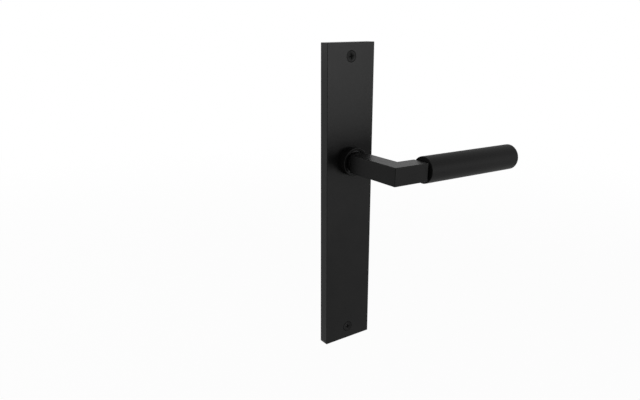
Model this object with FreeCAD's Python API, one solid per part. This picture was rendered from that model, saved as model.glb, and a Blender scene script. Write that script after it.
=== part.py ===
import FreeCAD, Part
import math
import os

from FreeCAD import Vector

# Door lever on a long backplate. Millimetres. The spindle axis is the Y axis, the door's face is the plane
# y = 0, the room is towards -Y, +Z is up and the lever points to +X.

# Backplate
plate_height = 250.0
spindle_below_top = 91.8
plate_side_wall = 2.35
plate_face_thickness = 2.5
plate_edge_round = 0.4
plate_rim = 3.0
rib_thickness = 2.0
end_land = 26.0
hub_land_margin = 4.0
back_cell_longest = 24.0
back_cell_corner = 2.0

# Spring pocket in the back of the plate
pocket_floor_thickness = 2.3

# Spindle
spindle_width = 8.0
spindle_clearance = 0.05
spindle_in_lever = 36.0
spindle_free_length = 24.0
spindle_end_chamfer = 0.8
socket_spare = 2.0

# Shank of the lever, from its inner end outwards: the driver's seat, the journal and the part in the collar
shank_corner_wall = 0.67
ring_groove_depth = 0.6
seat_flat_depth = 0.8
seat_step = 0.5
seat_clearance = 0.03
shoulder_step = 0.9
shank_showing = 2.2
shank_past_ring = 0.9
running_clearance = 0.05
axial_play = 0.1

# Collar ring on the front of the plate
shank_gap = 1.1
collar_wall = 2.0
collar_projection = 8.0
collar_spigot_wall = 1.0
collar_edge_round = 0.5
press_clearance = 0.02

# Bearing bush inside the collar
bush_recess = 1.5
bush_flange_lap = 0.1
bush_flange_thickness = 0.8

# Lever arm: square bar with a mitred elbow
lever_reach = 71.3
bar_depth = 15.8
bar_height = 14.2
bar_edge_round = 0.5
bar_end = 24.8
lever_rest_droop = 1.3
lever_turn = 45.0

# Grip and the pin that carries it
grip_radius = 10.5
grip_length = 99.8
shadow_gap = 2.0
grip_outer_edge_round = 1.0
grip_inner_edge_round = 0.4
grip_pin_neck_radius = 6.2
grip_pin_radius = 5.5
grip_pin_length = 36.0
grip_bore_clearance = 0.03
grip_bore_spare = 1.0

# Socket set screws
grub_radius = 2.5
grub_thread_clearance = 0.02
grub_key_width = 2.5
grub_key_depth = 1.4
grub_point_height = 0.8
grub_tip_gap = 0.05
spindle_grub_sink = 0.2
spindle_grub_from_collar = 14.0
grip_grub_sink = 0.4
grip_grub_from_rim = 16.0

# Driver disc on the shank's flats
driver_rim = 2.15
driver_thickness = 2.0
notch_clearance = 0.15
notch_end_clearance = 0.8

# Stop pins that run in the driver's curved slots
stop_pin_radius = 1.2
stop_pin_gap = 0.5
stop_pin_count = 2
stop_pin_first_angle = 90.0
stop_pin_face_left = 0.8
stop_pin_below_cover = 0.6
stop_slot_clearance = 0.25
stop_end_clearance = 1.0

# Washers and ring that hold the lever in the plate
washer_thickness = 0.4
washer_radius = 10.6
disc_spring_thickness = 0.22
disc_spring_height = 0.42
disc_spring_radius = 9.6
stack_gap = 0.03
ring_thickness = 1.0
ring_width = 2.6
ring_groove_play = 0.05
ring_opening = 24.0
ring_eye_radius = 1.6
ring_eye_hole_radius = 0.7

# Return spring
wire_radius = 0.7
coil_turns = 2
coil_gap = 0.06
coil_above_floor = 0.2
coil_to_driver = 0.6
coil_to_wall = 0.6
inner_leg_angle = 20.0
outer_leg_angle = 60.0
inner_leg_in_notch = 2.6
outer_leg_in_slot = 1.0
leg_slot_clearance = 0.4
leg_end_clearance = 0.3

# Cover over the spring pocket
cover_thickness = 1.2
cover_below_face = 0.05
cover_gap = 0.14
cover_lap = 1.5
cover_fit = 0.15
cover_ear_width = 14.0
cover_ear_length = 9.0
cover_hole_clearance = 1.2
cover_screw_from_rim = 4.6
cover_screw_radius = 1.5
cover_screw_head_radius = 2.6
cover_screw_head_height = 1.1
cover_screw_length = 5.6
cover_screw_clearance = 0.15
cover_screw_drill_spare = 0.4
cover_cross_length = 2.6
cover_cross_width = 0.6
cover_cross_depth = 0.8

# Countersunk cross-recess screws that fix the plate to the door
screw_from_end = 10.5
screw_length = 30.0
screw_radius = 2.0
screw_shank_radius = 1.5
screw_thread_past_plate = 0.5
screw_hole_radius = 2.3
screw_head_radius = 4.1
screw_head_rim = 0.3
screw_head_sink = 0.15
screw_seat_clearance = 0.05
screw_point_length = 5.0
screw_point_radius = 0.3
cross_length = 4.6
cross_width = 0.95
cross_depth = 1.8
cross_turn = 8.0

# Radii that follow, from the spindle outwards
socket_half = spindle_width / 2 + spindle_clearance
seat_radius = socket_half * math.sqrt(2) + shank_corner_wall + ring_groove_depth
seat_half_flats = seat_radius - seat_flat_depth
journal_radius = seat_radius + seat_step
shank_radius = journal_radius + shoulder_step
collar_bore = shank_radius + shank_gap
collar_radius = collar_bore + collar_wall
collar_spigot_radius = collar_bore + collar_spigot_wall
bush_flange_radius = collar_spigot_radius + bush_flange_lap
ring_inner_radius = seat_radius - ring_groove_depth + seat_clearance
ring_outer_radius = ring_inner_radius + ring_width
ring_eye_circle = ring_outer_radius - ring_eye_radius / 2
inside_pins = max(bush_flange_radius, washer_radius, disc_spring_radius, ring_eye_circle + ring_eye_radius)
stop_pin_circle = inside_pins + stop_pin_gap + stop_pin_radius
stop_slot_half_width = stop_pin_radius + stop_slot_clearance
driver_radius = stop_pin_circle + stop_slot_half_width + driver_rim
inner_leg_end_radius = driver_radius - inner_leg_in_notch
coil_radius = driver_radius + coil_to_driver + wire_radius
pocket_radius = coil_radius + wire_radius + coil_to_wall
outer_leg_end_radius = pocket_radius + outer_leg_in_slot
cover_radius = pocket_radius + cover_lap
cover_ear_reach = cover_radius + cover_ear_length
cover_screw_from_axis = cover_radius + cover_screw_from_rim
cover_hole_radius = seat_radius + cover_hole_clearance
hub_land_half_height = cover_ear_reach + hub_land_margin
plate_width = 2 * (cover_radius + cover_fit + plate_side_wall)

# Depths that follow. The pocket is as deep as the higher of the lever's stack and the coil
coil_pitch = 2 * wire_radius + coil_gap
coil_rise = (coil_turns + (outer_leg_angle - inner_leg_angle) / 360) * coil_pitch
coil_height = coil_above_floor + 2 * wire_radius + coil_rise
bearing_height = bush_flange_thickness + axial_play + driver_thickness
washer_height = washer_thickness + disc_spring_height + ring_thickness + 3 * stack_gap
inner_height = max(bearing_height + washer_height, coil_height)
pocket_depth = inner_height + cover_gap + cover_thickness + cover_below_face
plate_thickness = pocket_depth + pocket_floor_thickness

# Places that follow
plate_front = -plate_thickness
plate_top = spindle_below_top
plate_bottom = spindle_below_top - plate_height
collar_front = plate_front - collar_projection
bush_front = collar_front + bush_recess
neck_start = collar_front - shank_showing
shoulder = bush_front - axial_play
pocket_floor = -pocket_depth
driver_front = pocket_floor + bush_flange_thickness + axial_play
driver_back = driver_front + driver_thickness
washer_front = driver_back + stack_gap
disc_spring_front = washer_front + washer_thickness + stack_gap
ring_front = disc_spring_front + disc_spring_height + stack_gap
ring_back = ring_front + ring_thickness
shank_end = ring_back + shank_past_ring
cover_inner = -cover_below_face - cover_thickness
grip_start = bar_end + shadow_gap
grip_axis_y = -lever_reach + bar_depth / 2
through = 1.0
touching = 1e-6

ALONG_X = Vector(1, 0, 0)
ALONG_Y = Vector(0, 1, 0)
ALONG_Z = Vector(0, 0, 1)
# Angles in the plate's plane are measured about the spindle from +X towards +Z
SPIN = Vector(0, -1, 0)
CENTRE = Vector(0, 0, 0)


def block(x_low, x_high, y_low, y_high, z_low, z_high):
    return Part.makeBox(x_high - x_low, y_high - y_low, z_high - z_low, Vector(x_low, y_low, z_low))


def round_bar(radius, y_low, y_high, x=0.0, z=0.0):
    return Part.makeCylinder(radius, y_high - y_low, Vector(x, y_low, z), ALONG_Y)


def cone(radius_low, radius_high, y_low, y_high, x=0.0, z=0.0):
    return Part.makeCone(radius_low, radius_high, y_high - y_low, Vector(x, y_low, z), ALONG_Y)


def polar(radius, angle, y):
    turn = math.radians(angle)
    return Vector(radius * math.cos(turn), y, radius * math.sin(turn))


def spun(shape, angle):
    copy = shape.copy()
    copy.rotate(CENTRE, SPIN, angle)
    return copy


def hung(shape):
    """The lever and all that turns with it rests a little below level."""
    return spun(shape, -lever_rest_droop)


def turned(points):
    """Solid of revolution about the spindle from (radius, y) points."""
    outline = [Vector(radius, y, 0) for radius, y in points]
    face = Part.Face(Part.makePolygon(outline + outline[:1]))
    return face.revolve(CENTRE, ALONG_Y, 360)


def ring_sector(radius_in, radius_out, y_low, y_high, angle_low, angle_high):
    corners = [
        Vector(radius_in, y_low, 0),
        Vector(radius_out, y_low, 0),
        Vector(radius_out, y_high, 0),
        Vector(radius_in, y_high, 0),
    ]
    face = Part.Face(Part.makePolygon(corners + corners[:1]))
    return spun(face.revolve(CENTRE, SPIN, angle_high - angle_low), angle_low)


def edges_along(shape, direction):
    picked = []
    for edge in shape.Edges:
        if isinstance(edge.Curve, Part.Line) and abs(abs(edge.Curve.Direction.dot(direction)) - 1) < touching:
            picked.append(edge)
    return picked


def circles_at(shape, radius, axis_name, place):
    picked = []
    for edge in shape.Edges:
        if isinstance(edge.Curve, Part.Circle) and abs(edge.Curve.Radius - radius) < touching:
            if abs(getattr(edge.Curve.Center, axis_name) - place) < touching:
                picked.append(edge)
    return picked


def fixing_heights():
    return [plate_top - screw_from_end, plate_bottom + screw_from_end]


def stop_pin_angles():
    return [stop_pin_first_angle + 360.0 / stop_pin_count * i for i in range(stop_pin_count)]


# Backplate


def back_cells():
    """Two columns of rounded cells that lighten the casting above and below the spring pocket."""
    width = (plate_width - 2 * plate_rim - rib_thickness) / 2
    cells = []
    spans = [
        (hub_land_half_height, plate_top - end_land),
        (plate_bottom + end_land, -hub_land_half_height),
    ]
    for low, high in spans:
        rows = math.ceil((high - low + rib_thickness) / (back_cell_longest + rib_thickness))
        height = (high - low - (rows - 1) * rib_thickness) / rows
        for row in range(rows):
            z = low + row * (height + rib_thickness)
            for x in (-plate_width / 2 + plate_rim, rib_thickness / 2):
                cell = block(x, x + width, plate_front + plate_face_thickness, through, z, z + height)
                cells.append(cell.makeFillet(back_cell_corner, edges_along(cell, ALONG_Y)))
    return cells


def countersink_radius():
    return screw_head_radius + screw_head_sink + screw_head_rim + screw_seat_clearance


def fixing_hole(z):
    hole = round_bar(screw_hole_radius, plate_front - through, through, 0, z)
    depth = countersink_radius() - screw_hole_radius
    sink = cone(countersink_radius(), screw_hole_radius, plate_front, plate_front + depth, 0, z)
    mouth = round_bar(countersink_radius(), plate_front - through, plate_front, 0, z)
    return [hole, sink, mouth]


def cover_outline(fit, y_low, y_high):
    disc = round_bar(cover_radius + fit, y_low, y_high)
    half = cover_ear_width / 2 + fit
    straight = cover_ear_reach - cover_ear_width / 2
    strap = block(-half, half, y_low, y_high, -straight, straight)
    ends = [round_bar(half, y_low, y_high, 0, side * straight) for side in (-1, 1)]
    return disc.fuse([strap] + ends).removeSplitter()


def spring_leg_slot():
    half_width = wire_radius + leg_slot_clearance
    slot = block(pocket_radius - through, outer_leg_end_radius + leg_end_clearance, pocket_floor, through,
                 -half_width, half_width)
    return spun(slot, outer_leg_angle)


def backplate():
    plate = block(-plate_width / 2, plate_width / 2, plate_front, 0, plate_bottom, plate_top)
    front = [edge for edge in plate.Edges if edge.BoundBox.YMax < plate_front + touching]
    corners = edges_along(plate, ALONG_Y)
    plate = plate.makeFillet(plate_edge_round, front + corners)
    cuts = back_cells()
    cuts.append(round_bar(pocket_radius, pocket_floor, through))
    cuts.append(spring_leg_slot())
    cuts.append(cover_outline(cover_fit, cover_inner, through))
    cuts.append(round_bar(collar_spigot_radius + press_clearance, plate_front - through, through))
    for angle in stop_pin_angles():
        place = polar(stop_pin_circle, angle, 0)
        cuts.append(round_bar(stop_pin_radius + press_clearance, plate_front + stop_pin_face_left, through,
                              place.x, place.z))
    for side in (-1, 1):
        drilled = -cover_below_face - cover_screw_length - cover_screw_drill_spare
        cuts.append(round_bar(cover_screw_radius + press_clearance, drilled, through,
                              0, side * cover_screw_from_axis))
    for z in fixing_heights():
        cuts.extend(fixing_hole(z))
    return plate.cut(cuts)


# Collar and bush


def collar_ring():
    ring = turned([
        (collar_bore, collar_front),
        (collar_radius, collar_front),
        (collar_radius, plate_front),
        (collar_spigot_radius, plate_front),
        (collar_spigot_radius, pocket_floor),
        (collar_bore, pocket_floor),
    ])
    return ring.makeFillet(collar_edge_round, circles_at(ring, collar_radius, "y", collar_front))


def bearing_bush():
    barrel = collar_bore - press_clearance
    bore = journal_radius + running_clearance
    flange_back = pocket_floor + bush_flange_thickness
    return turned([
        (bore, bush_front),
        (barrel, bush_front),
        (barrel, pocket_floor),
        (bush_flange_radius, pocket_floor),
        (bush_flange_radius, flange_back),
        (bore, flange_back),
    ])


# Lever arm


def elbow_bar():
    """Square bar bent square at a mitred elbow, with a slight break on every outer edge."""
    half_depth = bar_depth / 2
    half_height = bar_height / 2
    outline = [
        Vector(-half_depth, neck_start, -half_height),
        Vector(-half_depth, -lever_reach, -half_height),
        Vector(bar_end, -lever_reach, -half_height),
        Vector(bar_end, -lever_reach + bar_depth, -half_height),
        Vector(half_depth, -lever_reach + bar_depth, -half_height),
        Vector(half_depth, neck_start, -half_height),
    ]
    bar = Part.Face(Part.makePolygon(outline + outline[:1])).extrude(Vector(0, 0, bar_height))
    inner = Vector(half_depth, -lever_reach + bar_depth, 0)
    edges = []
    for edge in bar.Edges:
        middle = edge.CenterOfMass
        upright = edge.BoundBox.ZLength > bar_height / 2
        at_inner_corner = upright and abs(middle.x - inner.x) + abs(middle.y - inner.y) < touching
        if not at_inner_corner:
            edges.append(edge)
    return bar.makeFillet(bar_edge_round, edges)


def flats(half_width, y_low, y_high):
    """Slab between the two flats on which the driver disc sits."""
    reach = 2 * seat_radius
    return block(-half_width, half_width, y_low, y_high, -reach, reach)


def seat():
    """Inner end of the shank: two flats for the driver, and a groove for the retaining ring."""
    start = driver_front - through
    body = round_bar(seat_radius, start, shank_end).common(flats(seat_half_flats, start, shank_end))
    groove_floor = seat_radius - ring_groove_depth
    groove = turned([
        (groove_floor, ring_front - ring_groove_play),
        (seat_radius + through, ring_front - ring_groove_play),
        (seat_radius + through, ring_back + ring_groove_play),
        (groove_floor, ring_back + ring_groove_play),
    ])
    return body.cut(groove)


def grip_pin():
    """Round pin that leaves a shadow gap before the grip and then enters its bore."""
    start = bar_end - grip_pin_neck_radius
    neck = Part.makeCylinder(grip_pin_neck_radius, grip_start - start, Vector(start, grip_axis_y, 0), ALONG_X)
    pin = Part.makeCylinder(grip_pin_radius, grip_pin_length, Vector(grip_start, grip_axis_y, 0), ALONG_X)
    return neck.fuse(pin)


def spindle_grub_y():
    return collar_front - spindle_grub_from_collar


def lever_arm():
    shank = round_bar(shank_radius, neck_start - through, shoulder)
    journal = round_bar(journal_radius, shoulder - through, driver_front)
    arm = elbow_bar().fuse([shank, journal, seat(), grip_pin()])
    socket = block(-socket_half, socket_half, -spindle_in_lever - socket_spare, through,
                   -socket_half, socket_half)
    tapped = Part.makeCylinder(grub_radius + grub_thread_clearance, bar_height / 2 + through,
                               Vector(0, spindle_grub_y(), -bar_height / 2 - through), ALONG_Z)
    return hung(arm.cut([socket, tapped]))


# Grip


def grip_grub_x():
    return grip_start + grip_grub_from_rim


def grip_cylinder():
    grip = Part.makeCylinder(grip_radius, grip_length, Vector(grip_start, grip_axis_y, 0), ALONG_X)
    grip = grip.makeFillet(grip_inner_edge_round, circles_at(grip, grip_radius, "x", grip_start))
    grip_end = grip_start + grip_length
    grip = grip.makeFillet(grip_outer_edge_round, circles_at(grip, grip_radius, "x", grip_end))
    bore = Part.makeCylinder(grip_pin_radius + grip_bore_clearance, grip_pin_length + grip_bore_spare,
                             Vector(grip_start, grip_axis_y, 0), ALONG_X)
    tapped = Part.makeCylinder(grub_radius + grub_thread_clearance, grip_radius,
                               Vector(grip_grub_x(), grip_axis_y, -grip_radius), ALONG_Z)
    return hung(grip.cut([bore, tapped]))


def grub_screw(length):
    """Set screw standing on its key end at the origin, with its point towards +Z."""
    body = Part.makeCylinder(grub_radius, length - grub_point_height)
    point = Part.makeCone(grub_radius, grub_radius - grub_point_height, grub_point_height,
                          Vector(0, 0, length - grub_point_height))
    across_corners = grub_key_width / math.sqrt(3)
    corners = [Vector(across_corners * math.cos(math.radians(60 * i)),
                      across_corners * math.sin(math.radians(60 * i)), 0) for i in range(6)]
    key = Part.Face(Part.makePolygon(corners + corners[:1])).extrude(Vector(0, 0, grub_key_depth))
    return body.fuse(point).removeSplitter().cut(key)


def grip_grub_screw():
    length = grip_radius - grip_grub_sink - grip_pin_radius - grub_tip_gap
    screw = grub_screw(length)
    screw.translate(Vector(grip_grub_x(), grip_axis_y, -grip_radius + grip_grub_sink))
    return hung(screw)


def spindle_grub_screw():
    length = bar_height / 2 - spindle_grub_sink - spindle_width / 2 - grub_tip_gap
    screw = grub_screw(length)
    screw.translate(Vector(0, spindle_grub_y(), -bar_height / 2 + spindle_grub_sink))
    return hung(screw)


# Spindle


def spindle():
    half = spindle_width / 2
    bar = block(-half, half, -spindle_in_lever, spindle_free_length, -half, half)
    ends = [edge for edge in bar.Edges if edge.BoundBox.YLength < touching]
    return hung(bar.makeChamfer(spindle_end_chamfer, ends))


# Driver disc


def curved_slot(pin_angle):
    """Slot that lets the disc turn from the rest stop to the end stop about a fixed pin."""
    half_width = stop_slot_half_width
    low = pin_angle + lever_rest_droop - stop_end_clearance
    high = pin_angle + lever_rest_droop + lever_turn + stop_end_clearance
    slot = ring_sector(stop_pin_circle - half_width, stop_pin_circle + half_width, driver_front - through,
                       driver_back + through, low, high)
    ends = []
    for angle in (low, high):
        place = polar(stop_pin_circle, angle, 0)
        ends.append(round_bar(half_width, driver_front - through, driver_back + through, place.x, place.z))
    return slot.fuse(ends).removeSplitter()


def driver_disc():
    disc = round_bar(driver_radius, driver_front, driver_back)
    hole = round_bar(seat_radius + seat_clearance, driver_front - through, driver_back + through)
    hole = hole.common(flats(seat_half_flats + seat_clearance, driver_front - through, driver_back + through))
    half_notch = wire_radius + notch_clearance
    notch = block(inner_leg_end_radius - notch_end_clearance, driver_radius + through, driver_front - through,
                  driver_back + through, -half_notch, half_notch)
    cuts = [hole, spun(notch, inner_leg_angle + lever_rest_droop)]
    cuts.extend(curved_slot(angle) for angle in stop_pin_angles())
    return hung(disc.cut(cuts))


def stop_pins():
    top = cover_inner - stop_pin_below_cover
    pins = []
    for angle in stop_pin_angles():
        place = polar(stop_pin_circle, angle, 0)
        pins.append(round_bar(stop_pin_radius, plate_front + stop_pin_face_left, top, place.x, place.z))
    return Part.makeCompound(pins)


# Washer, disc spring and retaining ring


def thrust_washer():
    bore = seat_radius + seat_clearance
    return hung(turned([
        (bore, washer_front),
        (washer_radius, washer_front),
        (washer_radius, washer_front + washer_thickness),
        (bore, washer_front + washer_thickness),
    ]))


def disc_spring():
    """Shallow cone that takes up the end play."""
    bore = seat_radius + seat_clearance
    rise = disc_spring_height - disc_spring_thickness
    return hung(turned([
        (bore, disc_spring_front + rise),
        (disc_spring_radius, disc_spring_front),
        (disc_spring_radius, disc_spring_front + disc_spring_thickness),
        (bore, disc_spring_front + disc_spring_height),
    ]))


def retaining_ring():
    """Open spring ring in the shank's groove, with two eyes for the pliers."""
    half_opening = ring_opening / 2
    ring = ring_sector(ring_inner_radius, ring_outer_radius, ring_front, ring_back, half_opening - 90,
                       270 - half_opening)
    eye_turn = math.degrees(ring_eye_radius / ring_eye_circle)
    eyes = []
    cuts = [round_bar(ring_inner_radius, ring_front - through, ring_back + through)]
    for side in (-1, 1):
        place = polar(ring_eye_circle, -90 + side * (half_opening + eye_turn), 0)
        eyes.append(round_bar(ring_eye_radius, ring_front, ring_back, place.x, place.z))
        cuts.append(round_bar(ring_eye_hole_radius, ring_front - through, ring_back + through,
                              place.x, place.z))
    return hung(ring.fuse(eyes).cut(cuts).removeSplitter())


# Return spring


def return_spring():
    """Torsion spring: its inner leg lies in the driver's notch and its outer leg in the plate's slot."""
    start_y = pocket_floor + coil_above_floor + wire_radius
    helix = Part.makeHelix(coil_pitch, coil_rise, coil_radius)
    heading = Vector(0, 2 * math.pi * coil_radius, coil_pitch)
    profile = Part.Wire(Part.makeCircle(wire_radius, Vector(coil_radius, 0, 0), heading))
    coil = helix.makePipeShell([profile], True, True)
    # Swapping Y and Z lays the coil round the spindle, wound so that turning the lever down tightens it
    coil = coil.mirror(CENTRE, Vector(0, 1, -1))
    coil = spun(coil, inner_leg_angle)
    coil.translate(Vector(0, start_y, 0))
    inner_start = polar(inner_leg_end_radius, inner_leg_angle, start_y)
    inner_leg = Part.makeCylinder(wire_radius, coil_radius - inner_leg_end_radius, inner_start,
                                  polar(1, inner_leg_angle, 0))
    outer_start = polar(coil_radius, outer_leg_angle, start_y + coil_rise)
    outer_leg = Part.makeCylinder(wire_radius, outer_leg_end_radius - coil_radius, outer_start,
                                  polar(1, outer_leg_angle, 0))
    return coil.fuse([inner_leg, outer_leg])


# Cover and its screws


def cover_screw_cuts(z):
    head_low = -cover_below_face - cover_screw_head_height
    spread = cover_screw_head_radius - cover_screw_radius
    hole = round_bar(cover_screw_radius + cover_screw_clearance, cover_inner - through, through, 0, z)
    sink = cone(cover_screw_head_radius + cover_screw_clearance - spread,
                cover_screw_head_radius + cover_screw_clearance, head_low, -cover_below_face, 0, z)
    return [hole, sink]


def spring_cover():
    cover = cover_outline(0, cover_inner, -cover_below_face)
    cuts = [round_bar(cover_hole_radius, cover_inner - through, through)]
    for side in (-1, 1):
        cuts.extend(cover_screw_cuts(side * cover_screw_from_axis))
    return cover.cut(cuts)


def cross_recess(length, width, depth):
    """Cross recess that narrows inwards, for a head whose face lies at y = 0 and looks towards -Y."""
    arm = block(-length / 2, length / 2, -through, depth, -width / 2, width / 2)
    cross = arm.fuse(spun(arm, 90)).removeSplitter()
    taper = cone(length / 2, width / 2, 0, depth).fuse(round_bar(length / 2, -through, 0))
    return cross.common(taper)


def cover_screws():
    head = cone(cover_screw_radius, cover_screw_head_radius, -cover_screw_head_height, 0)
    shank = round_bar(cover_screw_radius, -cover_screw_length, -cover_screw_head_height)
    recess = cross_recess(cover_cross_length, cover_cross_width, cover_cross_depth)
    recess.rotate(CENTRE, ALONG_Z, 180)
    screw = head.fuse(shank).removeSplitter().cut(recess)
    screws = []
    for side in (-1, 1):
        copy = screw.copy()
        copy.translate(Vector(0, -cover_below_face, side * cover_screw_from_axis))
        screws.append(copy)
    return Part.makeCompound(screws)


# Fixing screws


def fixing_screw(z):
    """Plain shank in the plate's hole, and a thread that starts just behind the plate."""
    thread_start = plate_thickness - screw_head_sink + screw_thread_past_plate
    screw = turned([
        (0, 0),
        (screw_head_radius, 0),
        (screw_head_radius, screw_head_rim),
        (screw_shank_radius, screw_head_rim + screw_head_radius - screw_shank_radius),
        (screw_shank_radius, thread_start),
        (screw_radius, thread_start),
        (screw_radius, screw_length - screw_point_length),
        (screw_point_radius, screw_length),
        (0, screw_length),
    ])
    screw = screw.cut(spun(cross_recess(cross_length, cross_width, cross_depth), cross_turn))
    screw.translate(Vector(0, plate_front + screw_head_sink, z))
    return screw


def fixing_screws():
    return Part.makeCompound([fixing_screw(z) for z in fixing_heights()])


PIECES = {
    "backplate": backplate,
    "collar_ring": collar_ring,
    "bearing_bush": bearing_bush,
    "lever_arm": lever_arm,
    "grip_cylinder": grip_cylinder,
    "grip_grub_screw": grip_grub_screw,
    "spindle": spindle,
    "spindle_grub_screw": spindle_grub_screw,
    "driver_disc": driver_disc,
    "stop_pins": stop_pins,
    "thrust_washer": thrust_washer,
    "disc_spring": disc_spring,
    "retaining_ring": retaining_ring,
    "return_spring": return_spring,
    "spring_cover": spring_cover,
    "cover_screws": cover_screws,
    "fixing_screws": fixing_screws,
}

os.makedirs("parts", exist_ok=True)
for name, make in PIECES.items():
    shape = make()
    print(name, "solids", len(shape.Solids), "valid", shape.isValid(), "volume", round(shape.Volume, 1))
    shape.exportStep("parts/" + name + ".step")
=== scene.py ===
import math

import bmesh
import bpy
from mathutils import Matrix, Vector


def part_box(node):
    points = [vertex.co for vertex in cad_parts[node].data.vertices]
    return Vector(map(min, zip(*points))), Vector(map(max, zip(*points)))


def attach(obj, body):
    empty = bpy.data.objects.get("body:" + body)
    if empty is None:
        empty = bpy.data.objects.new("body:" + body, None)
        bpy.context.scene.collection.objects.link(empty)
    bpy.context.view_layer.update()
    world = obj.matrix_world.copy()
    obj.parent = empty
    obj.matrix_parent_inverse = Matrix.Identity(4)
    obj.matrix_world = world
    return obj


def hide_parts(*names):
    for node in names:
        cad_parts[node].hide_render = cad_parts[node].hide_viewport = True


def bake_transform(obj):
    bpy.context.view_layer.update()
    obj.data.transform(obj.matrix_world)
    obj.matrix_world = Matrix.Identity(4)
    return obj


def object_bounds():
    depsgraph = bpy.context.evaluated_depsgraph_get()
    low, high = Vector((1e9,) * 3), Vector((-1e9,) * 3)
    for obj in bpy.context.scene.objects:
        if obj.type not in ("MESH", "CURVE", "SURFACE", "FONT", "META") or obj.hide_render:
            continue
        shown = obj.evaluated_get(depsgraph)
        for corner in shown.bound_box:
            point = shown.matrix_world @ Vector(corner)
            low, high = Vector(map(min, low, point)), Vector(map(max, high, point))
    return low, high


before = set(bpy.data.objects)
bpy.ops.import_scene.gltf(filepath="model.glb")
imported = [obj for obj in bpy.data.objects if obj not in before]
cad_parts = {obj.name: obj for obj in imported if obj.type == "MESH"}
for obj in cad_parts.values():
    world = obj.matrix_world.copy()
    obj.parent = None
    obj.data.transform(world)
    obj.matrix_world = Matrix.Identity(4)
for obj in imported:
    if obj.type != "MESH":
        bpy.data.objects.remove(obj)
cad_low, cad_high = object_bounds()

MM = 0.001
PLATE = "backplate"
LEVER = "lever"

# Camera, at the place from which the photograph was taken
IMAGE_WIDTH_PX = 640
SENSOR_WIDTH_MM = 36.0
FOCAL_LENGTH_PX = 605.5
CAMERA_PLACE_MM = (-290.96, -382.57, 109.13)
CAMERA_YAW_DEG = -34.978
CAMERA_PITCH_DEG = -16.716
CAMERA_NEAR_MM = 10.0
CAMERA_FAR_MM = 100000.0

# Studio
FLOOR_BELOW_PLATE_MM = 260.0
FLOOR_HALF_WIDTH_MM = 6000.0
FLOOR_COLOUR = (0.86, 0.86, 0.86)
FLOOR_WHITENESS_NEAR = 0.94
FLOOR_FADE_FROM_MM = 700.0
FLOOR_FADE_TO_MM = 2200.0
WORLD_LIGHT = 0.55

# Softboxes. The turn goes from straight in front of the plate towards the grip's end, the height from level
LAMP_AIM_MM = (30.0, -30.0, 0.0)
LAMPS = {
    "upper_front_softbox": {"turn_deg": 32, "height_deg": 6, "distance_mm": 1150,
                            "width_mm": 360, "height_mm": 480, "watts": 3.5},
    "lower_front_softbox": {"turn_deg": 20, "height_deg": -13, "distance_mm": 1150,
                            "width_mm": 340, "height_mm": 300, "watts": 1.0},
    "back_left_softbox": {"turn_deg": -145, "height_deg": 14, "distance_mm": 1300,
                          "width_mm": 1000, "height_mm": 350, "watts": 3.3},
}

# Screw threads. A ridge takes up twice its share of the pitch, and the tip is a share of the full radius
WOOD_THREAD_MM = {"Pitch": 1.8, "Crest Radius": 2.0, "Root Radius": 1.45, "Point Length": 5.0}
WOOD_SHARES = {"Ridge Share": 0.24, "Tip Share": 0.0}
COVER_THREAD_MM = {"Pitch": 0.5, "Crest Radius": 1.5, "Root Radius": 1.2, "Point Length": 0.4}
GRUB_THREAD_MM = {"Pitch": 0.8, "Crest Radius": 2.5, "Root Radius": 2.05, "Point Length": 0.8}
MACHINE_SHARES = {"Ridge Share": 0.5, "Tip Share": 0.68}
WOOD_THREAD_FROM_MM = 0.4
COVER_HEAD_MM = 1.4
GRUB_SOCKET_MM = 1.7
THREAD_OVERLAP_MM = 0.1
THREAD_RINGS_PER_TURN = 14
THREAD_SIDES = 28
THREAD_END_SHARE = 0.0001
END_FACE_MM = 0.2

# Meshes
MERGE_MM = 0.001
SMOOTH_UNDER_DEG = 35.0

# Return spring: whole turns, then on from the inner leg to the outer one
SPRING_WIRE_MM = 1.4
SPRING_WHOLE_TURNS = 2
SPRING_INNER_LEG_DEG = 20.0
SPRING_OUTER_LEG_DEG = 60.0
SPRING_INNER_END_MM = 13.3
SPRING_OUTER_END_MM = 19.5
SPRING_BEND_MM = 1.1
SPRING_BEND_POINTS = 6
SPRING_STEPS = 108
SPRING_SIDES = 16

# Back of the plate, left as cast under a thin coat
CAST_EDGE_MARGIN_MM = 2.0
CAST_FRONT_WALL_MM = 1.6
CAST_BACK_FACE_MM = 0.2
CAST_GREY = 0.007
CAST_ROUGHER = 0.16
CAST_BLOTCH_MM = 0.9
CAST_SKIN_MM = 0.035
CAST_BLOTCH_SHEEN = 0.1
CAST_LEAST_GREY = 0.6
EJECTOR_RADIUS_MM = 2.6
EJECTOR_RIM_MM = 0.35
EJECTOR_DEPTH_MM = 0.12
EJECTOR_FROM_MIDDLE_MM = 12.0
EJECTOR_FROM_END_MM = 12.5

# Black coat on the castings, the grip and the fixing screws
COAT_BLACK = 0.0030
COAT_ROUGHNESS = 0.36
GRIP_ROUGHNESS = 0.55
SCREW_ROUGHNESS = 0.40
PLATE_SPECULAR = 0.125
LEVER_SPECULAR = 0.090
GRIP_SPECULAR = 0.105
SCREW_SPECULAR = 0.090
COAT_GRAIN_MM = 0.30
GRIP_GRAIN_MM = 0.26
SCREW_GRAIN_MM = 0.20
COAT_GRAIN_DEPTH_MM = 0.010
SCREW_GRAIN_DEPTH_MM = 0.006
COAT_CLOUD_MM = 14.0
COAT_PEEL_MM = 1.6
COAT_PEEL_DEPTH_MM = 0.006
COAT_PATCH_FROM = 0.3
COAT_PATCH_FULL = 0.7
COAT_PATCH_BRIGHTER = 1.35
COAT_CLOUD_SHEEN = 0.05
COAT_GRAIN_SHEEN = 0.06

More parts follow.
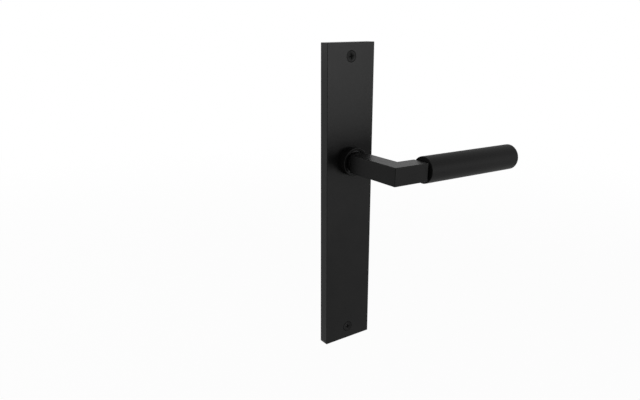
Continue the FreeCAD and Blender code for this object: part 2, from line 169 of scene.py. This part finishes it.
# Bare steel and the bush's plastic
STEEL_CLOUD_MM = 5.0
STEEL_CLOUD_SHEEN = 0.14
STEEL_SPECK_MM = 0.8
STEEL_SPECK_FROM = 0.62
STEEL_SPECK_FULL = 0.74
STEEL_SPECK_SHARE = 0.25
STEEL_SPECK_DARKER = 0.6
SCRATCH_WIDTH_MM = 0.25
SCRATCH_LENGTHS = (18, 1, 1)
SCRATCH_DEPTH_MM = 0.004
SCRATCH_SHEEN = 0.08
BUSH_CLOUD_MM = 4.0
BUSH_GRAIN_MM = 0.3
BUSH_GRAIN_DEPTH_MM = 0.004
BUSH_ROUGHNESS = 0.5
BUSH_CLOUD_SHEEN = 0.1


class Number:
    """A value that nodes work out at each point, so that it can be written as a sum."""

    def __init__(self, tree, socket):
        self.tree = tree
        self.socket = socket

    def _math(self, operation, first, second=None):
        inputs = [first] if second is None else [first, second]
        return self.tree.node("ShaderNodeMath", {"operation": operation}, inputs)

    def __add__(self, other):
        return self._math("ADD", self, other)

    def __radd__(self, other):
        return self._math("ADD", other, self)

    def __sub__(self, other):
        return self._math("SUBTRACT", self, other)

    def __rsub__(self, other):
        return self._math("SUBTRACT", other, self)

    def __mul__(self, other):
        return self._math("MULTIPLY", self, other)

    def __rmul__(self, other):
        return self._math("MULTIPLY", other, self)

    def __truediv__(self, other):
        return self._math("DIVIDE", self, other)

    def __pow__(self, other):
        return self._math("POWER", self, other)

    def above(self, other):
        return self._math("GREATER_THAN", self, other)

    def size(self):
        return self._math("ABSOLUTE", self)

    def largest(self, other):
        return self._math("MAXIMUM", self, other)

    def smallest(self, other):
        return self._math("MINIMUM", self, other)

    def sine(self):
        return self._math("SINE", self)

    def cosine(self):
        return self._math("COSINE", self)

    def fraction(self):
        return self._math("FRACT", self)


class Tree:
    """A tree of nodes, to which one method adds any node."""

    def __init__(self, nodes):
        self.nodes = nodes
        self.nodes.nodes.clear()

    def node(self, kind, settings, inputs, output=0):
        """Adds a node. Inputs are in its own order or by name; None leaves an input as it is."""
        made = self.nodes.nodes.new(kind)
        for name, value in settings.items():
            setattr(made, name, value)
        pairs = inputs.items() if isinstance(inputs, dict) else enumerate(inputs)
        for key, value in pairs:
            for one in value if isinstance(value, list) else [value]:
                if isinstance(one, Number):
                    self.nodes.links.new(one.socket, made.inputs[key])
                elif one is not None:
                    made.inputs[key].default_value = one
        return Number(self, made.outputs[output] if made.outputs else None)

    def part_of(self, vector, axis):
        return self.node("ShaderNodeSeparateXYZ", {}, [vector], axis)

    def vector(self, x, y, z):
        return self.node("ShaderNodeCombineXYZ", {}, [x, y, z])


class Finish(Tree):
    """A material and the nodes that make it."""

    def __init__(self, name):
        self.material = bpy.data.materials.new(name)
        self.material.use_nodes = True
        super().__init__(self.material.node_tree)

    def place(self):
        """Point of the surface in the part's own frame, in metres."""
        return self.node("ShaderNodeTexCoord", {}, [], "Object")

    def noise(self, size_mm, detail=2.0, roughness=0.5, stretch=(1, 1, 1)):
        """Cloudy noise from 0 to 1, its features about size_mm across and longer along a stretched axis."""
        scale = tuple(1 / (MM * size_mm * length) for length in stretch)
        spot = self.node("ShaderNodeMapping", {}, {"Vector": self.place(), "Scale": scale})
        sizes = {"Vector": spot, "Scale": 1.0, "Detail": detail, "Roughness": roughness}
        return self.node("ShaderNodeTexNoise", {}, sizes)

    def ramp(self, value, low, high, low_value=0.0, high_value=1.0):
        """Smooth step of value between low and high."""
        return self.node("ShaderNodeMapRange", {"interpolation_type": "SMOOTHSTEP"},
                         [value, low, high, low_value, high_value])

    def mix_colours(self, share, first, second):
        return self.node("ShaderNodeMix", {"data_type": "RGBA"},
                         {0: share, 6: first, 7: second}, 2)

    def bump(self, height, depth_mm, below=None):
        """Height from 0 to 1 raises the surface by up to depth_mm."""
        sizes = {"Height": height, "Strength": 1.0, "Distance": depth_mm * MM, "Normal": below}
        return self.node("ShaderNodeBump", {}, sizes)

    def ends_in(self, shader, output="ShaderNodeOutputMaterial"):
        self.node(output, {}, {"Surface": shader})

    def surface(self, **inputs):
        """Principled shader with the given sockets, named with underscores."""
        shader = self.node("ShaderNodeBsdfPrincipled", {},
                           {name.replace("_", " "): value for name, value in inputs.items()})
        self.ends_in(shader)
        return self.material


class Recipe(Tree):
    """A Geometry Nodes tree for a piece. Its named inputs are sizes in metres, counts and shares."""

    KINDS = {float: "NodeSocketFloat", int: "NodeSocketInt", tuple: "NodeSocketVector"}

    def __init__(self, name, sizes):
        self.group = bpy.data.node_groups.new(name, "GeometryNodeTree")
        super().__init__(self.group)
        self.keys = {}
        self.values = sizes
        sockets = self.group.interface
        sockets.new_socket("Geometry", in_out="OUTPUT", socket_type="NodeSocketGeometry")
        sockets.new_socket("Geometry", in_out="INPUT", socket_type="NodeSocketGeometry")
        for label, value in sizes.items():
            kind = self.KINDS.get(type(value), "NodeSocketMaterial")
            self.keys[label] = sockets.new_socket(label, in_out="INPUT", socket_type=kind).identifier

    def given(self, label):
        return self.node("NodeGroupInput", {}, [], label)

    def ends_in(self, shape, finish):
        """Turns copies into real faces, gives them their finish and hands them out."""
        real = self.node("GeometryNodeRealizeInstances", {}, [shape])
        finished = self.node("GeometryNodeSetMaterial", {}, {"Geometry": real, "Material": finish})
        self.node("NodeGroupOutput", {}, [finished])

    def make(self, name, mesh):
        """Runs the recipe on a mesh, which may be empty, and gives the plain object that it makes."""
        piece = bpy.data.objects.new(name, mesh)
        bpy.context.scene.collection.objects.link(piece)
        modifier = piece.modifiers.new("recipe", "NODES")
        modifier.node_group = self.group
        for label, value in self.values.items():
            modifier[self.keys[label]] = value
        graph = bpy.context.evaluated_depsgraph_get()
        made = bpy.data.meshes.new_from_object(piece.evaluated_get(graph))
        piece.modifiers.remove(modifier)
        piece.data = made
        made.name = name
        return piece


def grey(value, warmth=0.0):
    """Colour of one value, redder with more warmth."""
    return (value * (1 + warmth), value, value * (1 - warmth), 1.0)


def cast_back(finish):
    """1 on the plate's back and in its cells, and the height of the ejector marks beside its holes."""
    low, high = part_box(PLATE)
    x, y, z = (finish.part_of(finish.place(), axis) for axis in "XYZ")
    from_middle = (z - (low.z + high.z) / 2).size()
    inside = (high.x - CAST_EDGE_MARGIN_MM * MM - x.size()).above(0.0)
    inside = inside * ((high.z - low.z) / 2 - CAST_EDGE_MARGIN_MM * MM - from_middle).above(0.0)
    inside = inside * y.above(low.y + CAST_FRONT_WALL_MM * MM)
    share = inside.largest(y.above(-CAST_BACK_FACE_MM * MM))
    across = x.size() - EJECTOR_FROM_MIDDLE_MM * MM
    along = from_middle - ((high.z - low.z) / 2 - EJECTOR_FROM_END_MM * MM)
    distance = (across ** 2 + along ** 2) ** 0.5
    marks = finish.ramp(distance, (EJECTOR_RADIUS_MM - EJECTOR_RIM_MM) * MM, EJECTOR_RADIUS_MM * MM)
    return share, share * marks


def black_coat(name, roughness, specular, grain_mm=COAT_GRAIN_MM, depth_mm=COAT_GRAIN_DEPTH_MM, back=None):
    """Matt black powder coat: fine grain over a gentle orange peel, with slight changes of sheen."""
    finish = Finish(name)
    cloud = finish.noise(COAT_CLOUD_MM, 3.0)
    fine = finish.noise(grain_mm, 2.0, 0.6)
    peel = finish.noise(COAT_PEEL_MM, 1.0)
    patches = finish.ramp(cloud, COAT_PATCH_FROM, COAT_PATCH_FULL)
    darker = grey(COAT_BLACK, -0.02)
    lighter = grey(COAT_BLACK * COAT_PATCH_BRIGHTER, 0.02)
    colour = finish.mix_colours(patches, darker, lighter)
    sheen = roughness + COAT_CLOUD_SHEEN * (cloud - 0.5) + COAT_GRAIN_SHEEN * (fine - 0.5)
    skin = finish.bump(peel, COAT_PEEL_DEPTH_MM)
    if back:
        share, marks = back(finish)
        blotch = finish.noise(CAST_BLOTCH_MM, 3.0, 0.65)
        cast_share = share * (CAST_LEAST_GREY + (1 - CAST_LEAST_GREY) * cloud)
        colour = finish.mix_colours(cast_share, colour, grey(CAST_GREY))
        sheen = sheen + share * (CAST_ROUGHER + CAST_BLOTCH_SHEEN * (blotch - 0.5))
        skin = finish.bump(share * blotch, CAST_SKIN_MM, finish.bump(marks, EJECTOR_DEPTH_MM, skin))
    return finish.surface(
        Base_Color=colour,
        Roughness=sheen,
        Specular_IOR_Level=specular,
        Normal=finish.bump(fine, depth_mm, skin),
    )


def plated_steel(name, low, high, roughness, warmth):
    """Zinc-plated or oiled steel: soft clouds of tone, short scratches and a slightly uneven sheen."""
    finish = Finish(name)
    cloud = finish.noise(STEEL_CLOUD_MM, 4.0)
    scratch = finish.noise(SCRATCH_WIDTH_MM, 2.0, 0.6, SCRATCH_LENGTHS)
    speck = finish.ramp(finish.noise(STEEL_SPECK_MM, 3.0, 0.7), STEEL_SPECK_FROM, STEEL_SPECK_FULL)
    colour = finish.mix_colours(cloud, grey(low, warmth), grey(high, warmth / 2))
    colour = finish.mix_colours(speck * STEEL_SPECK_SHARE, colour, grey(low * STEEL_SPECK_DARKER, warmth))
    return finish.surface(
        Base_Color=colour,
        Metallic=1.0,
        Roughness=roughness + STEEL_CLOUD_SHEEN * (cloud - 0.5) + SCRATCH_SHEEN * (scratch - 0.5),
        Normal=finish.bump(scratch, SCRATCH_DEPTH_MM),
    )


def bearing_plastic():
    """Black plain plastic of the bush, with a faint moulded grain."""
    finish = Finish("bearing_plastic")
    cloud = finish.noise(BUSH_CLOUD_MM, 2.0)
    colour = finish.mix_colours(cloud, grey(0.006), grey(0.010))
    return finish.surface(
        Base_Color=colour,
        Roughness=BUSH_ROUGHNESS + BUSH_CLOUD_SHEEN * (cloud - 0.5),
        Normal=finish.bump(finish.noise(BUSH_GRAIN_MM), BUSH_GRAIN_DEPTH_MM),
    )


def dress(node, material):
    """Gives a CAD node its finish."""
    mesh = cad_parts[node].data
    mesh.materials.clear()
    mesh.materials.append(material)


def copy_of(node):
    """Shape of a CAD node, its loose triangles joined."""
    shape = bmesh.new()
    shape.from_mesh(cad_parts[node].data)
    bmesh.ops.remove_doubles(shape, verts=shape.verts, dist=MERGE_MM * MM)
    return shape


def mesh_of(shape, name):
    """Turns a worked shape into a mesh."""
    mesh = bpy.data.meshes.new(name)
    shape.to_mesh(mesh)
    shape.free()
    return mesh


def smooth_rounds(mesh):
    """Shades round faces smooth and keeps real edges sharp."""
    mesh.shade_smooth()
    mesh.set_sharp_from_angle(angle=math.radians(SMOOTH_UNDER_DEG))


def screw_heads(node, cut, direction):
    """Heads of the CAD screws of a node, cut off where the thread starts."""
    shape = copy_of(node)
    everything = shape.verts[:] + shape.edges[:] + shape.faces[:]
    bmesh.ops.bisect_plane(shape, geom=everything, plane_co=cut, plane_no=direction, clear_outer=True)
    bmesh.ops.holes_fill(shape, edges=[edge for edge in shape.edges if edge.is_boundary])
    return mesh_of(shape, "screw_heads")


def thread_recipe(name, sizes):
    """A right-handed thread from Start towards Direction, repeated for each screw."""
    recipe = Recipe(name, sizes)
    length = recipe.given("Length")
    root = recipe.given("Root Radius")
    tip = recipe.given("Tip Share")
    sheet = recipe.node("GeometryNodeMeshGrid", {}, {
        "Size X": 1.0,
        "Size Y": 1.0,
        "Vertices X": recipe.given("Rings"),
        "Vertices Y": recipe.given("Sides"),
    })
    spot = recipe.node("GeometryNodeInputPosition", {}, [])
    along = recipe.part_of(spot, "X") + 0.5
    around = recipe.part_of(spot, "Y") + 0.5
    reach = along * length
    phase = (reach / recipe.given("Pitch") + around).fraction()
    ridge = (1 - (phase - 0.5).size() / recipe.given("Ridge Share")).largest(0.0)
    taper = tip + (1 - tip) * ((length - reach) / recipe.given("Point Length")).smallest(1.0)
    not_an_end = along.above(THREAD_END_SHARE) * (1 - along.above(1 - THREAD_END_SHARE))
    radius = (root + (recipe.given("Crest Radius") - root) * ridge) * taper * not_an_end
    turn = around * math.tau
    place = recipe.vector(radius * turn.cosine(), reach, radius * turn.sine())
    rolled = recipe.node("GeometryNodeSetPosition", {}, {"Geometry": sheet, "Position": place})
    closed = recipe.node("GeometryNodeMergeByDistance", {}, {"Geometry": rolled, "Distance": MERGE_MM * MM})
    screws = recipe.node("GeometryNodeMeshLine", {"mode": "OFFSET"}, {
        "Count": recipe.given("Screws"),
        "Start Location": recipe.given("Start"),
        "Offset": recipe.given("Apart"),
    })
    direction = recipe.given("Direction")
    aim = recipe.node("FunctionNodeAlignRotationToVector", {"axis": "Y"}, {"Vector": direction})
    threads = recipe.node("GeometryNodeInstanceOnPoints", {}, {
        "Points": screws,
        "Instance": closed,
        "Rotation": aim,
    })
    joined = recipe.node("GeometryNodeJoinGeometry", {}, {"Geometry": [recipe.given("Geometry"), threads]})
    recipe.ends_in(joined, recipe.given("Finish"))
    return recipe


def make_screws(node, body, finish, cut, tip, apart, thread_mm, shares):
    """Screws with a real thread from cut to tip, in place of a node's plain ones.

    apart is the step to the second screw, or nothing where there is only one.
    """
    direction = (tip - cut).normalized()
    start = cut - direction * THREAD_OVERLAP_MM * MM
    length = (tip - start).length
    sizes = {label: value * MM for label, value in thread_mm.items()}
    recipe = thread_recipe(node + "_thread", {
        "Start": tuple(start),
        "Direction": tuple(direction),
        "Length": length,
        "Screws": 2 if apart.length else 1,
        "Apart": tuple(apart),
        **sizes,
        **shares,
        "Rings": math.ceil(THREAD_RINGS_PER_TURN * length / sizes["Pitch"]),
        "Sides": THREAD_SIDES,
        "Finish": finish,
    })
    screws = recipe.make("threaded_" + node, screw_heads(node, cut, direction))
    smooth_rounds(screws.data)
    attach(screws, body)
    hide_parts(node)


def pair_of_axes(node):
    """Height of the lower of two screws and the step to the upper one."""
    low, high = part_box(node)
    head_radius = (high.x - low.x) / 2
    return low.z + head_radius, Vector((0, 0, high.z - low.z - 2 * head_radius))


def middle_of_end(node, direction):
    """Middle of the end face of a round piece that faces roughly along direction."""
    points = [vertex.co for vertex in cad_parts[node].data.vertices]
    furthest = max(point.dot(direction) for point in points)
    ring = [point for point in points if point.dot(direction) > furthest - END_FACE_MM * MM]
    return Vector((min(values) + max(values)) / 2 for values in zip(*ring))


def make_fixing_screws(finish):
    """Countersunk screws, their wood thread starting just behind the plate."""
    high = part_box("fixing_screws")[1]
    height, apart = pair_of_axes("fixing_screws")
    cut = Vector((0, WOOD_THREAD_FROM_MM * MM, height))
    make_screws("fixing_screws", PLATE, finish, cut, Vector((0, high.y, height)), apart,
                WOOD_THREAD_MM, WOOD_SHARES)


def make_cover_screws(finish):
    """Small machine screws, with their heads towards the door."""
    low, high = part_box("cover_screws")
    height, apart = pair_of_axes("cover_screws")
    cut = Vector((0, high.y - COVER_HEAD_MM * MM, height))
    make_screws("cover_screws", PLATE, finish, cut, Vector((0, low.y, height)), apart,
                COVER_THREAD_MM, MACHINE_SHARES)


def make_grub_screw(node, finish):
    """Set screw, threaded from below its hexagon socket to its tip."""
    socket = middle_of_end(node, Vector((0, 0, -1)))
    tip = middle_of_end(node, Vector((0, 0, 1)))
    cut = socket + (tip - socket).normalized() * GRUB_SOCKET_MM * MM
    alone = Vector((0, 0, 0))
    make_screws(node, LEVER, finish, cut, tip, alone, GRUB_THREAD_MM, MACHINE_SHARES)


def spring_recipe(finish):
    """A wire wound round the spindle, its ends bent in towards the driver and out into the plate."""
    low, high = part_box("return_spring")
    wire = SPRING_WIRE_MM * MM / 2
    recipe = Recipe("coiled_wire", {
        "Wire Radius": wire,
        "Coil Radius": high.x - wire,
        "Start": low.y + wire,
        "Rise": high.y - low.y - 2 * wire,
        "Inner End": SPRING_INNER_END_MM * MM,
        "Outer End": SPRING_OUTER_END_MM * MM,
        "Bend Radius": SPRING_BEND_MM * MM,
        "Start Angle": math.radians(SPRING_INNER_LEG_DEG),
        "Turns": SPRING_WHOLE_TURNS + (SPRING_OUTER_LEG_DEG - SPRING_INNER_LEG_DEG) / 360,
        "Steps": SPRING_STEPS,
        "Sides": SPRING_SIDES,
        "Finish": finish,
    })
    steps = recipe.given("Steps")
    coil_radius = recipe.given("Coil Radius")
    points = recipe.node("GeometryNodeMeshLine", {"mode": "OFFSET"}, {"Count": steps + 3})
    step = recipe.node("GeometryNodeInputIndex", {}, []) - 1
    past = step - steps
    share = (step / steps).largest(0.0).smallest(1.0)
    radius = coil_radius + step.smallest(0.0) * (coil_radius - recipe.given("Inner End"))
    radius = radius + past.largest(0.0) * (recipe.given("Outer End") - coil_radius)
    angle = recipe.given("Start Angle") + share * recipe.given("Turns") * math.tau
    height = recipe.given("Start") + share * recipe.given("Rise")
    place = recipe.vector(radius * angle.cosine(), height, radius * angle.sine())
    wound = recipe.node("GeometryNodeSetPosition", {}, {"Geometry": points, "Position": place})
    line = recipe.node("GeometryNodeMeshToCurve", {}, [wound])
    is_bend = 1 - step.size().smallest(past.size()).above(0.5)
    bent = recipe.node("GeometryNodeFilletCurve", {"mode": "POLY"}, {
        "Curve": line,
        "Count": SPRING_BEND_POINTS,
        "Radius": recipe.given("Bend Radius") * is_bend,
    })
    section = recipe.node("GeometryNodeCurvePrimitiveCircle", {"mode": "RADIUS"}, {
        "Resolution": recipe.given("Sides"),
        "Radius": recipe.given("Wire Radius"),
    })
    drawn = recipe.node("GeometryNodeCurveToMesh", {}, {
        "Curve": bent,
        "Profile Curve": section,
        "Fill Caps": True,
    })
    recipe.ends_in(drawn, recipe.given("Finish"))
    return recipe


def make_return_spring(finish):
    """Winds the wire in place of the CAD spring, its inner leg towards the driver and its outer one in the
    plate.
    """
    spring = spring_recipe(finish).make("wound_return_spring", bpy.data.meshes.new("no_wire_yet"))
    smooth_rounds(spring.data)
    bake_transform(spring)
    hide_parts("return_spring")


def dress_nodes():
    """Gives every CAD node its finish, and threads the screws and winds the spring."""
    lever = black_coat("black_lever_coat", COAT_ROUGHNESS, LEVER_SPECULAR)
    plate = black_coat("black_plate_coat", COAT_ROUGHNESS, PLATE_SPECULAR, back=cast_back)
    grip = black_coat("black_grip_coat", GRIP_ROUGHNESS, GRIP_SPECULAR, GRIP_GRAIN_MM)
    screw = black_coat("black_screw_coat", SCREW_ROUGHNESS, SCREW_SPECULAR, SCREW_GRAIN_MM,
                       SCREW_GRAIN_DEPTH_MM)
    oxide = plated_steel("black_oxide_steel", low=0.035, high=0.06, roughness=0.42, warmth=0.0)
    zinc = plated_steel("zinc_plated_steel", low=0.36, high=0.48, roughness=0.40, warmth=0.02)
    spring = plated_steel("spring_steel", low=0.26, high=0.36, roughness=0.32, warmth=0.01)
    finishes = {
        "backplate": plate,
        "collar_ring": lever,
        "lever_arm": lever,
        "grip_cylinder": grip,
        "fixing_screws": screw,
        "grip_grub_screw": oxide,
        "spindle_grub_screw": oxide,
        "bearing_bush": bearing_plastic(),
        "spindle": zinc,
        "driver_disc": zinc,
        "spring_cover": zinc,
        "cover_screws": zinc,
        "stop_pins": zinc,
        "return_spring": spring,
        "thrust_washer": spring,
        "disc_spring": spring,
        "retaining_ring": spring,
    }
    for node, material in finishes.items():
        dress(node, material)
    make_return_spring(spring)
    make_fixing_screws(screw)
    make_cover_screws(zinc)
    make_grub_screw("grip_grub_screw", oxide)
    make_grub_screw("spindle_grub_screw", oxide)


def background_share(tree):
    """1 for rays that show the background: straight from the camera, mirrored or seen through glass."""
    seen = [tree.node("ShaderNodeLightPath", {}, [], output)
            for output in ("Is Camera Ray", "Is Glossy Ray", "Is Transmission Ray")]
    return seen[0].largest(seen[1]).largest(seen[2])


def make_floor():
    """Pale floor below the plate, which fades to plain white far from it."""
    mesh = bpy.data.meshes.new("floor")
    half = FLOOR_HALF_WIDTH_MM * MM
    height = cad_low.z - FLOOR_BELOW_PLATE_MM * MM
    corners = [(-half, -half, height), (half, -half, height), (half, half, height), (-half, half, height)]
    mesh.from_pydata(corners, [], [(0, 1, 2, 3)])
    floor = bpy.data.objects.new("floor", mesh)
    bpy.context.scene.collection.objects.link(floor)
    finish = Finish("floor_paper")
    lit = finish.node("ShaderNodeBsdfDiffuse", {}, {"Color": (*FLOOR_COLOUR, 1)})
    white = finish.node("ShaderNodeEmission", {}, {"Strength": 1.0})
    spot = finish.place()
    distance = (finish.part_of(spot, "X") ** 2 + finish.part_of(spot, "Y") ** 2) ** 0.5
    whiteness = finish.ramp(distance, FLOOR_FADE_FROM_MM * MM, FLOOR_FADE_TO_MM * MM,
                            FLOOR_WHITENESS_NEAR, 1.0)
    share = background_share(finish) * whiteness
    finish.ends_in(finish.node("ShaderNodeMixShader", {}, [share, lit, white]))
    mesh.materials.append(finish.material)


def make_world():
    """Even light from all round, before a white background."""
    world = bpy.data.worlds.new("studio")
    world.use_nodes = True
    bpy.context.scene.world = world
    sky = Tree(world.node_tree)
    share = background_share(sky)
    strength = WORLD_LIGHT + share * (1 - WORLD_LIGHT)
    light = sky.node("ShaderNodeBackground", {}, {"Color": (1, 1, 1, 1), "Strength": strength})
    sky.node("ShaderNodeOutputWorld", {}, {"Surface": light})


def softbox(name, turn_deg, height_deg, distance_mm, width_mm, height_mm, watts):
    """Rectangular lamp that faces the lever."""
    lamp = bpy.data.lights.new(name, "AREA")
    lamp.shape = "RECTANGLE"
    lamp.size = width_mm * MM
    lamp.size_y = height_mm * MM
    lamp.energy = watts
    box = bpy.data.objects.new(name, lamp)
    bpy.context.scene.collection.objects.link(box)
    turn = math.radians(turn_deg)
    height = math.radians(height_deg)
    level = math.cos(height)
    towards = Vector((math.sin(turn) * level, -math.cos(turn) * level, math.sin(height)))
    box.location = (Vector(LAMP_AIM_MM) + towards * distance_mm) * MM
    box.rotation_mode = "QUATERNION"
    box.rotation_quaternion = (-towards).to_track_quat("-Z", "Y")


def make_lamps():
    for name, sizes in LAMPS.items():
        softbox(name, **sizes)


def make_camera():
    """Camera at the photograph's viewing angle."""
    yaw = math.radians(CAMERA_YAW_DEG)
    pitch = math.radians(CAMERA_PITCH_DEG)
    ahead = Vector((-math.sin(yaw) * math.cos(pitch), math.cos(yaw) * math.cos(pitch), math.sin(pitch)))
    camera = bpy.data.cameras.new("camera")
    camera.sensor_width = SENSOR_WIDTH_MM
    camera.lens = FOCAL_LENGTH_PX * SENSOR_WIDTH_MM / IMAGE_WIDTH_PX
    camera.clip_start = CAMERA_NEAR_MM * MM
    camera.clip_end = CAMERA_FAR_MM * MM
    stand = bpy.data.objects.new("camera", camera)
    bpy.context.scene.collection.objects.link(stand)
    stand.location = Vector(CAMERA_PLACE_MM) * MM
    stand.rotation_mode = "QUATERNION"
    stand.rotation_quaternion = ahead.to_track_quat("-Z", "Y")
    bpy.context.scene.camera = stand


dress_nodes()
make_floor()
make_world()
make_lamps()
make_camera()
bpy.context.scene.view_settings.view_transform = "Standard"
